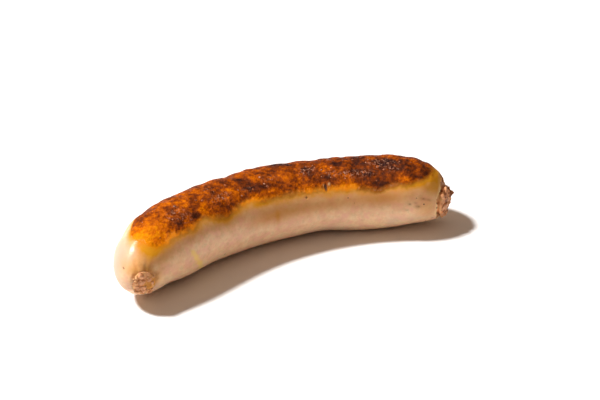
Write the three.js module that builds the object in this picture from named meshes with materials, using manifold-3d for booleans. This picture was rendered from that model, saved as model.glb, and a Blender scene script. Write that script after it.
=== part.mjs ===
// A grilled sausage that lies on its side, bent into a shallow arc.
// Millimetres, +Z up. The arc runs along X with its hollow side towards -Y. The gathered end is
// at -X and the open, ragged end at +X. The origin is at the middle of the footprint.
// The casing is a sleeve open at both ends, and the forcemeat is the filling that runs through it.
import * as THREE from 'three';
import { mergeVertices } from 'three/addons/utils/BufferGeometryUtils.js';
import Module from 'manifold-3d';

const wasm = await Module();
wasm.setup();

// Axis, from the gathered end to the open end: a plain arc with a tighter curl at each end
const AXIS_LENGTH = 161.2;
const MIDDLE_HEADING = -2.3;
const BEND = 75;
const CURL = { turn: 51, length: 44, power: 3 };
const TUCK = { turn: 10.5, length: 32, power: 2 };

// Radius of the body and the taper of its two noses, whose tips sit lower than the body
const BODY_RADIUS = { gathered: 16.7, middle: 15.7, open: 15.6 };
const GATHERED_NOSE = { length: 45, power: 2.65, droop: 3.2 };
const OPEN_NOSE = { length: 22.5, power: 1.8, droop: 3.6 };

// The sausage has sagged a little on to what it lies on
const SAG = 0.35;

// Its sections are square to the axis, but over these distances from the open tip they turn upright
const UPRIGHT = { from: 12, full: 2 };

// Places where the casing is drawn in or filled out: station along the axis, angle round it
// (0 faces the hollow side, 90 is the top), height, and reach along and round
const SWELLS = [
  { name: 'waist behind the gathered end', station: 17, angle: -58, height: -1.1, along: 9, round: 40 },
  { name: 'crown behind the gathered end', station: 24, angle: 120, height: 0.5, along: 7, round: 40 },
  { name: 'dip in the first third', station: 46, angle: -58, height: -0.35, along: 9, round: 40 },
  { name: 'crown of the first third', station: 55, angle: 120, height: 0.6, along: 9, round: 40 },
  { name: 'crown of the middle', station: 80, angle: 120, height: 0.9, along: 12, round: 40 },
  { name: 'pinch inside the bend', station: 104, angle: -58, height: -0.85, along: 8, round: 40 },
  { name: 'belly past the bend', station: 124, angle: -58, height: 0.45, along: 9, round: 40 },
  { name: 'waist before the open end', station: 144, angle: -58, height: -0.7, along: 8, round: 40 },
];
const SWELL_FULL_RADIUS = 12;

// Casing: its wall, the two mouths, the folds drawn up round the gathered mouth and the torn rim
const WALL = 1.0;
const GATHERED_MOUTH = 1.9;
const OPEN_MOUTH = 158.7;
const FOLDS = { depth: 0.45, reach: 7, counts: [9, 4, 14], weights: [0.5, 0.3, 0.2], turns: [0.4, 2.1, 5.0] };
const TEETH = { depth: 0.65, reach: 4, counts: [7, 3, 12], weights: [0.45, 0.35, 0.2], turns: [1.0, 3.3, 0.2] };

// Crags of the browned crust, on the upper side only
const CRUST = { height: 0.32, from: 35, full: 60, fade: 150, to: 178, start: 8, end: 156 };
const CRAG = { along: 12.5, round: 0.55, sway: 1.4, swayLength: 37 };

// Forcemeat: clear of the casing, and pushed out at both mouths as low domes of coarse grains
const GAP = 0.3;
const GATHERED_DOME = { tip: 0.4, power: 2.4, flare: 0, grains: 12, smallest: 0.55, largest: 0.95, spread: 0.68 };
const OPEN_DOME = { tip: 161.4, power: 4, flare: 0.22, grains: 28, smallest: 0.6, largest: 1.1, spread: 0.97 };
const DOME_ROUGHNESS = 0.28;
const SHRED = { length: 3.8, radius: 1.5, flatness: 0.45, sides: 6, angle: 120, out: 4.2, sunk: 0.6 };

// Fineness of the facets
const AROUND = 48;
const OUTER_RINGS = 44;
const INNER_RINGS = 32;
const DOME_RINGS = 5;
const END_CROWDING = 0.75;
const AXIS_STEPS = 640;
const SLOPE_STEP = 0.01;
const MERGE_DISTANCE = 1e-4;
const GRAIN_SEED = 20250;

const radians = THREE.MathUtils.degToRad;
const clamp = THREE.MathUtils.clamp;
const smoothstep = THREE.MathUtils.smoothstep;

// Direction of the axis at a station, as an angle from +X
function heading(station) {
  const place = (2 * station) / AXIS_LENGTH - 1;
  const curl = clamp(1 - station / CURL.length, 0, 1) ** CURL.power * CURL.turn;
  const tuck = clamp(1 - (AXIS_LENGTH - station) / TUCK.length, 0, 1) ** TUCK.power * TUCK.turn;
  return radians(MIDDLE_HEADING - (BEND / 2) * place + curl - tuck);
}

// How far a station is into each nose: 0 in the body and 1 at the tip
function noses(station) {
  return {
    gathered: clamp(1 - station / GATHERED_NOSE.length, 0, 1),
    open: clamp(1 - (AXIS_LENGTH - station) / OPEN_NOSE.length, 0, 1),
  };
}

function bodyRadius(station) {
  const place = (2 * station) / AXIS_LENGTH - 1;
  const lean = (BODY_RADIUS.open - BODY_RADIUS.gathered) / 2;
  const flare = (BODY_RADIUS.open + BODY_RADIUS.gathered) / 2 - BODY_RADIUS.middle;
  return BODY_RADIUS.middle + lean * place + flare * place * place;
}

function skinRadius(station) {
  const nose = noses(station);
  const gathered = Math.sqrt(Math.max(1 - nose.gathered ** GATHERED_NOSE.power, 0));
  const open = Math.sqrt(Math.max(1 - nose.open ** OPEN_NOSE.power, 0));
  return bodyRadius(station) * gathered * open;
}

function axisHeight(station) {
  const nose = noses(station);
  const droop = GATHERED_NOSE.droop * nose.gathered ** 2 + OPEN_NOSE.droop * nose.open ** 2;
  return bodyRadius(station) - droop - SAG;
}

// Points of the axis at even steps, found by walking along the heading
function walkAxis() {
  const step = AXIS_LENGTH / AXIS_STEPS;
  const points = [new THREE.Vector3(0, 0, axisHeight(0))];
  for (let i = 1; i <= AXIS_STEPS; i += 1) {
    const turn = heading((i - 0.5) * step);
    const last = points[i - 1];
    points.push(new THREE.Vector3(
      last.x + Math.cos(turn) * step,
      last.y + Math.sin(turn) * step,
      axisHeight(i * step),
    ));
  }
  return points;
}
const AXIS = walkAxis();

// Point and directions of the axis at a station, which may lie a little past either end
function frameAt(station) {
  const within = clamp(station / AXIS_LENGTH, 0, 1) * AXIS_STEPS;
  const index = Math.min(Math.floor(within), AXIS_STEPS - 1);
  const along = AXIS[index + 1].clone().sub(AXIS[index]).normalize();
  const point = AXIS[index].clone().lerp(AXIS[index + 1], within - index);
  point.addScaledVector(along, station - (within / AXIS_STEPS) * AXIS_LENGTH);
  along.z *= 1 - smoothstep(station, AXIS_LENGTH - UPRIGHT.from, AXIS_LENGTH - UPRIGHT.full);
  along.normalize();
  const side = along.clone().cross(new THREE.Vector3(0, 0, 1)).normalize();
  const lift = side.clone().cross(along);
  return { point, along, side, lift };
}

function pointAround(station, angle, radius) {
  const frame = frameAt(station);
  return frame.point
    .addScaledVector(frame.side, radius * Math.cos(angle))
    .addScaledVector(frame.lift, radius * Math.sin(angle));
}

function swell(station, angle) {
  let height = 0;
  for (const one of SWELLS) {
    const away = Math.atan2(Math.sin(angle - radians(one.angle)), Math.cos(angle - radians(one.angle)));
    const along = (station - one.station) / one.along;
    const round = away / radians(one.round);
    height += one.height * Math.exp(-along * along - round * round);
  }
  return height * clamp(skinRadius(station) / SWELL_FULL_RADIUS, 0, 1);
}

// Uneven ripple round the axis, between -1 and 1
function ripple(angle, { counts, weights, turns }) {
  return counts.reduce((sum, count, i) => sum + weights[i] * Math.sin(count * angle + turns[i]), 0);
}

function crags(station, angle) {
  const degrees = (THREE.MathUtils.radToDeg(angle) + 360) % 360;
  const round = smoothstep(degrees, CRUST.from, CRUST.full) - smoothstep(degrees, CRUST.fade, CRUST.to);
  const along = smoothstep(station, CRUST.start, 2 * CRUST.start)
    - smoothstep(station, CRUST.end - CRUST.start, CRUST.end);
  const sway = CRAG.sway * Math.sin((2 * Math.PI * station) / CRAG.swayLength);
  const long = Math.sin((2 * Math.PI * station) / CRAG.along + sway + 2 * angle);
  const cross = Math.sin(angle / CRAG.round + sway * 2);
  return CRUST.height * round * along * long * cross;
}

function folds(station, angle) {
  const near = clamp(1 - (station - GATHERED_MOUTH) / FOLDS.reach, 0, 1);
  return FOLDS.depth * near * ripple(angle, FOLDS);
}

// Stations from one end to the other, crowded towards both ends
function stationsBetween(first, last, rings) {
  return Array.from({ length: rings + 1 }, (_, i) => {
    const even = i / rings;
    const crowded = (1 - Math.cos(Math.PI * even)) / 2;
    return first + (last - first) * THREE.MathUtils.lerp(even, crowded, END_CROWDING);
  });
}

// Station and radius of the point that lies a given depth under the skin
function underSkin(station, depth) {
  const slope = (skinRadius(station + SLOPE_STEP) - skinRadius(station - SLOPE_STEP)) / (2 * SLOPE_STEP);
  const length = Math.hypot(1, slope);
  return { station: station + (depth * slope) / length, radius: skinRadius(station) - depth / length };
}

// A lathe of the straightened outline, each of whose points is then moved by place(row, angle)
function bentLathe(rows, place) {
  const outline = rows.map((row) => new THREE.Vector2(row.radius, row.station));
  const geometry = new THREE.LatheGeometry(outline, AROUND);
  const position = geometry.getAttribute('position');
  for (let i = 0; i < position.count; i += 1) {
    const turn = Math.floor(i / rows.length) % AROUND;
    const point = place(rows[i % rows.length], (turn * 2 * Math.PI) / AROUND);
    position.setXYZ(i, point.x, point.y, point.z);
  }
  return asClosed(geometry);
}

// The same surface with shared vertices merged, no empty triangles and its faces pointing out
function asClosed(geometry) {
  geometry.deleteAttribute('normal');
  geometry.deleteAttribute('uv');
  const merged = mergeVertices(geometry, MERGE_DISTANCE);
  const index = Array.from(merged.index.array);
  const corners = [];
  for (let i = 0; i < index.length; i += 3) {
    const [a, b, c] = index.slice(i, i + 3);
    if (a !== b && b !== c && c !== a) {
      corners.push(a, b, c);
    }
  }
  merged.setIndex(corners);
  if (signedVolume(merged) < 0) {
    merged.setIndex(corners.reverse());
  }
  return merged;
}

function signedVolume(geometry) {
  const position = geometry.getAttribute('position');
  const corner = (i) => new THREE.Vector3().fromBufferAttribute(position, geometry.index.getX(i));
  let total = 0;
  for (let i = 0; i < geometry.index.count; i += 3) {
    total += corner(i).dot(corner(i + 1).cross(corner(i + 2))) / 6;
  }
  return total;
}

function toSolid(geometry) {
  const vertProperties = Float32Array.from(geometry.getAttribute('position').array);
  const triVerts = Uint32Array.from(geometry.index.array);
  return new wasm.Manifold(new wasm.Mesh({ numProp: 3, vertProperties, triVerts }));
}

function toGeometry(solid) {
  const mesh = solid.getMesh();
  const geometry = new THREE.BufferGeometry();
  geometry.setAttribute('position', new THREE.BufferAttribute(mesh.vertProperties, 3));
  geometry.setIndex(new THREE.BufferAttribute(mesh.triVerts, 1));
  return geometry;
}

function makeCasing() {
  const rowsAt = (depth, rings) => stationsBetween(GATHERED_MOUTH, OPEN_MOUTH, rings)
    .map((station) => ({ at: station, depth, ...underSkin(station, depth) }));
  const outer = rowsAt(0, OUTER_RINGS);
  const inner = rowsAt(WALL, INNER_RINGS).reverse();
  return bentLathe([...outer, ...inner, outer[0]], (row, angle) => {
    const torn = clamp(1 - (OPEN_MOUTH - row.at) / TEETH.reach, 0, 1) ** 2 * TEETH.depth;
    const at = row.at - torn * (1 - ripple(angle, TEETH));
    const skin = underSkin(at, row.depth);
    const relief = row.depth === 0 ? crags(at, angle) + folds(at, angle) : 0;
    const point = pointAround(skin.station, angle, skin.radius + swell(at, angle) + relief);
    point.z = Math.max(point.z, row.depth);
    return point;
  });
}

// Rows of a dome, from the neck inside the mouth to the tip
function domeRows(neck, dome) {
  return Array.from({ length: DOME_RINGS }, (_, i) => {
    const rise = Math.sin(((i + 1) / DOME_RINGS) * (Math.PI / 2));
    const bulge = 1 + dome.flare * Math.sin(Math.PI * rise);
    const radius = neck.radius * bulge * Math.sqrt(Math.max(1 - rise ** dome.power, 0));
    return { station: THREE.MathUtils.lerp(neck.station, dome.tip, rise), radius, dome: true };
  });
}

// Seeded random numbers between 0 and 1
function seededRandom(seed) {
  let state = seed;
  return () => {
    state = (state * 1664525 + 1013904223) % 4294967296;
    return state / 4294967296;
  };
}

// Coarse grains set evenly over a dome by the golden angle, each turned and sized by chance
function makeGrains(neck, dome, random) {
  const goldenAngle = Math.PI * (3 - Math.sqrt(5));
  return Array.from({ length: dome.grains }, (_, i) => {
    const radius = THREE.MathUtils.lerp(dome.smallest, dome.largest, random());
    const out = Math.sqrt((i + 0.5) / dome.grains) * dome.spread;
    const rise = (1 - Math.min(out, 1) ** 2) ** (1 / dome.power);
    const station = THREE.MathUtils.lerp(neck.station, dome.tip, rise);
    const tip = Math.sign(dome.tip - neck.station);
    const grain = new THREE.IcosahedronGeometry(radius, 0);
    grain.scale(1, THREE.MathUtils.lerp(0.7, 1, random()), THREE.MathUtils.lerp(0.7, 1, random()));
    grain.rotateX(random() * Math.PI);
    grain.rotateZ(random() * Math.PI);
    const sunk = radius * 0.45;
    const reach = neck.radius * (1 + dome.flare * Math.sin(Math.PI * rise)) - sunk;
    const centre = pointAround(station - tip * sunk, i * goldenAngle, reach * out);
    grain.translate(centre.x, centre.y, centre.z);
    return toSolid(asClosed(grain));
  });
}

// The shred of meat that sticks out at the top of the open end
function makeShred() {
  const frame = frameAt(OPEN_DOME.tip);
  const shred = new THREE.ConeGeometry(SHRED.radius, SHRED.length, SHRED.sides);
  shred.scale(1, 1, SHRED.flatness);
  const base = pointAround(OPEN_DOME.tip - SHRED.sunk, radians(SHRED.angle), SHRED.out);
  const lean = frame.along.clone().addScaledVector(frame.side, -0.35).addScaledVector(frame.lift, 0.35);
  const turn = new THREE.Quaternion().setFromUnitVectors(new THREE.Vector3(0, 1, 0), lean.normalize());
  shred.applyQuaternion(turn);
  shred.translate(base.x, base.y, base.z);
  return toSolid(asClosed(shred));
}

function makeForcemeat() {
  const depth = WALL + GAP;
  const body = stationsBetween(GATHERED_MOUTH, OPEN_MOUTH, INNER_RINGS)
    .map((station) => ({ at: station, ...underSkin(station, depth) }));
  const gatheredNeck = body[0];
  const openNeck = body[body.length - 1];
  const rows = [
    ...domeRows(gatheredNeck, GATHERED_DOME).reverse(),
    ...body,
    ...domeRows(openNeck, OPEN_DOME),
  ];
  const core = bentLathe(rows, (row, angle) => {
    const lumps = row.dome && row.radius > 0
      ? DOME_ROUGHNESS * ripple(angle + row.station * 2, TEETH) * (1 - row.radius / bodyRadius(0))
      : 0;
    const at = row.dome ? row.station : row.at;
    const relief = row.radius > 0 ? swell(at, angle) + lumps : 0;
    const point = pointAround(row.station, angle, row.radius + relief);
    point.z = Math.max(point.z, depth);
    return point;
  });
  const random = seededRandom(GRAIN_SEED);
  const extras = [
    ...makeGrains(gatheredNeck, GATHERED_DOME, random),
    ...makeGrains(openNeck, OPEN_DOME, random),
    makeShred(),
  ];
  const solid = extras.reduce((sum, extra) => sum.add(extra), toSolid(core));
  return toGeometry(solid);
}

function named(name, geometry, material) {
  const mesh = new THREE.Mesh(geometry, material);
  mesh.name = name;
  return mesh;
}

const casingMaterial = new THREE.MeshStandardMaterial({ color: 0xc07a38, roughness: 0.38, metalness: 0 });
const meatMaterial = new THREE.MeshStandardMaterial({ color: 0xb98262, roughness: 0.62, metalness: 0 });

const sausage = new THREE.Group();
sausage.add(named('casing', makeCasing(), casingMaterial));
sausage.add(named('forcemeat', makeForcemeat(), meatMaterial));

// The origin goes to the middle of the footprint, on the surface that the sausage lies on
const extent = new THREE.Box3().setFromObject(sausage);
const middle = extent.getCenter(new THREE.Vector3());
sausage.position.set(-middle.x, -middle.y, -extent.min.z);

export default sausage;
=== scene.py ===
"""A grilled sausage on a pale floor, in the row's frame, in metres.

The casing and the forcemeat are rebuilt finely from the driving sizes of the solids. Attributes on
the casing say where it is browned, scorched, blistered or stained and where light and shade are
painted into its colour, and its finish reads them. Geometry Nodes raise the crust's relief and
scatter the grains, flakes, specks and fat beads, whose pale colour paints glints.
"""

import logging
import math
from collections.abc import Sequence
from dataclasses import dataclass
from enum import Enum

import bpy
import numpy as np
from mathutils import Matrix, Vector


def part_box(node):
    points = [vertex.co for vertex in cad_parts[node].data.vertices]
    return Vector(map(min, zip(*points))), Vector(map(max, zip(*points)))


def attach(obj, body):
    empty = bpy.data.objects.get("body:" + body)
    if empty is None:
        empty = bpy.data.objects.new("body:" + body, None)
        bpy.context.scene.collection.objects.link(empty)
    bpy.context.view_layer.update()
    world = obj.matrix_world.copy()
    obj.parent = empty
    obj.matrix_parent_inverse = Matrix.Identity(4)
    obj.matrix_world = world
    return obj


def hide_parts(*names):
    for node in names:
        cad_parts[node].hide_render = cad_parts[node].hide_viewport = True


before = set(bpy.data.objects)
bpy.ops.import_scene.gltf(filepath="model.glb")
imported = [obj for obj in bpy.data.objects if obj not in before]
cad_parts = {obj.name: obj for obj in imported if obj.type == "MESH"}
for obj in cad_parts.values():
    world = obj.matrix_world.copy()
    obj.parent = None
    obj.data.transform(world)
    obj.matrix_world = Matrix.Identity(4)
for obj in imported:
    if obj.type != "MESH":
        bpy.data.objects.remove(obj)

LOG = logging.getLogger("sausage")
BODY = "root"
MM = 0.001

Array = np.ndarray
Rgb = tuple[int, int, int]
Thing = bpy.types.Object
Socket = bpy.types.NodeSocket
Material = bpy.types.Material


class Node(Enum):
    """The row's two nodes, which are also its material slots."""

    CASING = "casing"
    FORCEMEAT = "forcemeat"


class Mask(Enum):
    """Names of the attributes that the casing and the forcemeat carry."""

    CRUST = "crust"
    SCORCH = "scorch"
    AMBER = "amber"
    BLISTER = "blister"
    STAIN = "stain"
    VEIN = "vein"
    BLUSH = "blush"
    # Pale curls of torn skin; their pale colour is partly a painted highlight on the curls.
    PEEL = "peel_and_highlight"
    GILD = "gild"
    # Toast brown: real specks, and painted shade on the open end's far shoulder.
    TOAST_AND_SHADE = "toast_and_shade"
    # Tan paint, mostly painted shade: the band under the crust, the half-shaded left nose and the open end,
    # where the side faces away from the key light.
    TAN = "tan_and_shade"
    # Painted light: paler colour on the underside for light bounced from the floor, and on the left nose
    # for the key light's washed-out look.
    PAINTED_LIGHT = "cream"
    GATHER = "gather"
    # A pale band by the torn mouth: partly pale casing edge, partly painted highlight where the curled rim
    # catches the light.
    RIM = "rim_and_highlight"
    OUTSIDE = "outside"
    PEPPER = "pepper"
    BARE = "bare"
    # Where the meat is darkened: seared places, and painted shade under the open end's bulge and in its
    # holes.
    GRILLED_AND_SHADE = "grilled_and_shade"


@dataclass(frozen=True)
class Nose:
    """One tapered end: its length in mm, the power of its taper and how far its tip sits down."""

    length: float
    power: float
    droop: float


@dataclass(frozen=True)
class Turn:
    """Extra turn of the axis near one end: degrees, reach in mm and the power of its onset."""

    degrees: float
    length: float
    power: float


@dataclass(frozen=True)
class Ripple:
    """An uneven wave round the axis, between -1 and 1."""

    counts: tuple[int, ...]
    weights: tuple[float, ...]
    turns: tuple[float, ...]

    def at(self, angle: Array) -> Array:
        """Height of the wave at each angle, in radians."""
        waves = zip(self.counts, self.weights, self.turns)
        return sum(weight * np.sin(count * angle + turn) for count, weight, turn in waves)


@dataclass(frozen=True)
class Spot:
    """A soft oval place on the skin.

    station is in mm along the axis, angle in degrees round it (0 faces the hollow side and 90 is
    the top), along in mm and round in degrees are its half-widths, and amount is its strength.
    """

    station: float
    angle: float
    along: float
    round: float
    amount: float

    def at(self, station: Array, angle: Array) -> Array:
        """Strength of the spot at each station in mm and angle in radians."""
        away = angle - math.radians(self.angle)
        away = np.arctan2(np.sin(away), np.cos(away)) / math.radians(self.round)
        return self.amount * np.exp(-(((station - self.station) / self.along) ** 2) - away**2)


def spots(*rows: tuple[float, ...]) -> tuple[Spot, ...]:
    """Spots from rows of station, angle, half-width along, half-width round and amount."""
    return tuple(Spot(*row) for row in rows)


def sum_of(places: Sequence[Spot], station: Array, angle: Array) -> Array:
    """Sum of the spots' strengths at each station in mm and angle in radians."""
    return sum(spot.at(station, angle) for spot in places)


def smooth(value: Array, low: float, high: float) -> Array:
    """A smooth step from 0 at low to 1 at high."""
    part = np.clip((value - low) / (high - low), 0.0, 1.0)
    return part * part * (3.0 - 2.0 * part)


def part_left(distance: Array, reach: float) -> Array:
    """A share that falls evenly from 1 at no distance to 0 at the reach."""
    return np.clip(1.0 - distance / reach, 0.0, 1.0)


@dataclass(frozen=True)
class Side:
    """One side of the sausage: its angle in degrees, how squarely a point has to face it to start
    and to be full, from -1 to 1, and its amount.
    """

    angle: float
    start: float
    full: float
    amount: float = 1.0

    def at(self, angle: Array) -> Array:
        """How much each angle in radians is on this side."""
        facing = np.cos(angle - math.radians(self.angle))
        return self.amount * smooth(facing, self.start, self.full)


@dataclass(frozen=True)
class SausageForm:
    """The sausage's driving sizes, in mm and degrees, as the solids have them."""

    axis_length: float = 161.2
    middle_heading: float = -2.3
    bend: float = 75.0
    curl: Turn = Turn(51.0, 44.0, 3.0)
    tuck: Turn = Turn(10.5, 32.0, 2.0)
    gathered_radius: float = 16.7
    middle_radius: float = 15.7
    open_radius: float = 15.6
    gathered_nose: Nose = Nose(45.0, 2.65, 3.2)
    open_nose: Nose = Nose(22.5, 1.8, 3.6)
    upright_from: float = 12.0
    upright_full: float = 2.0
    sag: float = 0.35
    wall: float = 1.0
    gap: float = 0.3
    gathered_mouth: float = 1.9
    open_mouth: float = 158.7
    far_side: Side = Side(180.0, -0.2, 1.0)
    slope_step: float = 0.01
    swell_full_radius: float = 12.0
    axis_steps: int = 640
    swells: tuple[Spot, ...] = spots(
        (17, -58, 9, 40, -1.1), (24, 120, 7, 40, 0.5), (46, -58, 9, 40, -0.35),
        (55, 120, 9, 40, 0.6), (80, 120, 12, 40, 0.9), (104, -58, 8, 40, -0.85),
        (124, -58, 9, 40, 0.45), (144, -58, 8, 40, -0.7),
    )

    def heading(self, station: Array) -> Array:
        """Direction of the axis at each station, in radians from +X."""
        place = 2.0 * station / self.axis_length - 1.0
        curl = part_left(station, self.curl.length) ** self.curl.power
        tuck = part_left(self.axis_length - station, self.tuck.length) ** self.tuck.power
        turned = self.curl.degrees * curl - self.tuck.degrees * tuck
        return np.radians(self.middle_heading - self.bend / 2.0 * place + turned)

    def noses(self, station: Array) -> tuple[Array, Array]:
        """How far each station is into the gathered and the open nose, from 0 to 1 at the tip."""
        gathered = part_left(station, self.gathered_nose.length)
        open_end = part_left(self.axis_length - station, self.open_nose.length)
        return gathered, open_end

    def body_radius(self, station: Array) -> Array:
        """Radius of the body at each station, before its noses taper."""
        place = 2.0 * station / self.axis_length - 1.0
        lean = (self.open_radius - self.gathered_radius) / 2.0
        flare = (self.open_radius + self.gathered_radius) / 2.0 - self.middle_radius
        return self.middle_radius + lean * place + flare * place * place

    def skin_radius(self, station: Array) -> Array:
        """Radius of the skin at each station, noses and all."""
        gathered, open_end = self.noses(station)
        taper = np.sqrt(np.clip(1.0 - gathered**self.gathered_nose.power, 0.0, 1.0))
        taper = taper * np.sqrt(np.clip(1.0 - open_end**self.open_nose.power, 0.0, 1.0))
        return self.body_radius(station) * taper

    def axis_height(self, station: Array) -> Array:
        """Height of the axis above the floor at each station."""
        gathered, open_end = self.noses(station)
        droop = self.gathered_nose.droop * gathered**2 + self.open_nose.droop * open_end**2
        return self.body_radius(station) - droop - self.sag

    def under_skin(self, station: Array, depth: Array) -> tuple[Array, Array]:
        """Station and radius of the points that lie at a depth under the skin.

        Args:
            station: Stations on the skin, in mm.
            depth: Depth under each of them, square to the skin, in mm.

        Returns:
            The stations and the radii of the points.
        """
        step = self.slope_step
        slope = (self.skin_radius(station + step) - self.skin_radius(station - step)) / (2.0 * step)
        length = np.hypot(1.0, slope)
        return station + depth * slope / length, self.skin_radius(station) - depth / length

    def swell(self, station: Array, angle: Array) -> Array:
        """How far the casing is filled out or drawn in, in mm."""
        full = np.clip(self.skin_radius(station) / self.swell_full_radius, 0.0, 1.0)
        return sum_of(self.swells, station, angle) * full

    def points(self, station: Array, angle: Array, radius: Array) -> Array:
        """Points round the bent axis.

        Args:
            station: Stations along the axis in mm, which may lie a little past either end.
            angle: Angles round it, in radians.
            radius: Distances from it, in mm.

        Returns:
            The points in mm, one to each entry, before the origin is moved under the sausage.
        """
        places = np.linspace(0.0, self.axis_length, self.axis_steps + 1)
        step = places[1]
        turn = self.heading((places[1:] + places[:-1]) / 2.0)
        walk = np.stack([np.cos(turn) * step, np.sin(turn) * step], axis=-1)
        plan = np.concatenate([np.zeros((1, 2)), np.cumsum(walk, axis=0)])
        line = np.concatenate([plan, self.axis_height(places)[:, None]], axis=1)
        ahead = np.gradient(line, step, axis=0)
        within = np.clip(station, 0.0, self.axis_length)
        point = np.stack([np.interp(within, places, line[:, k]) for k in range(3)], axis=-1)
        along = np.stack([np.interp(within, places, ahead[:, k]) for k in range(3)], axis=-1)
        tip = self.axis_length
        along = along / np.linalg.norm(along, axis=-1, keepdims=True)
        along[..., 2] *= 1.0 - smooth(station, tip - self.upright_from, tip - self.upright_full)
        along = along / np.linalg.norm(along, axis=-1, keepdims=True)
        side = np.stack([along[..., 1], -along[..., 0], np.zeros_like(along[..., 0])], axis=-1)
        side = side / np.linalg.norm(side, axis=-1, keepdims=True)
        lift = np.cross(side, along)
        point = point + along * (station - within)[..., None]
        reach = side * np.cos(angle)[..., None] + lift * np.sin(angle)[..., None]
        return point + reach * radius[..., None]


FORM = SausageForm()


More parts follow.
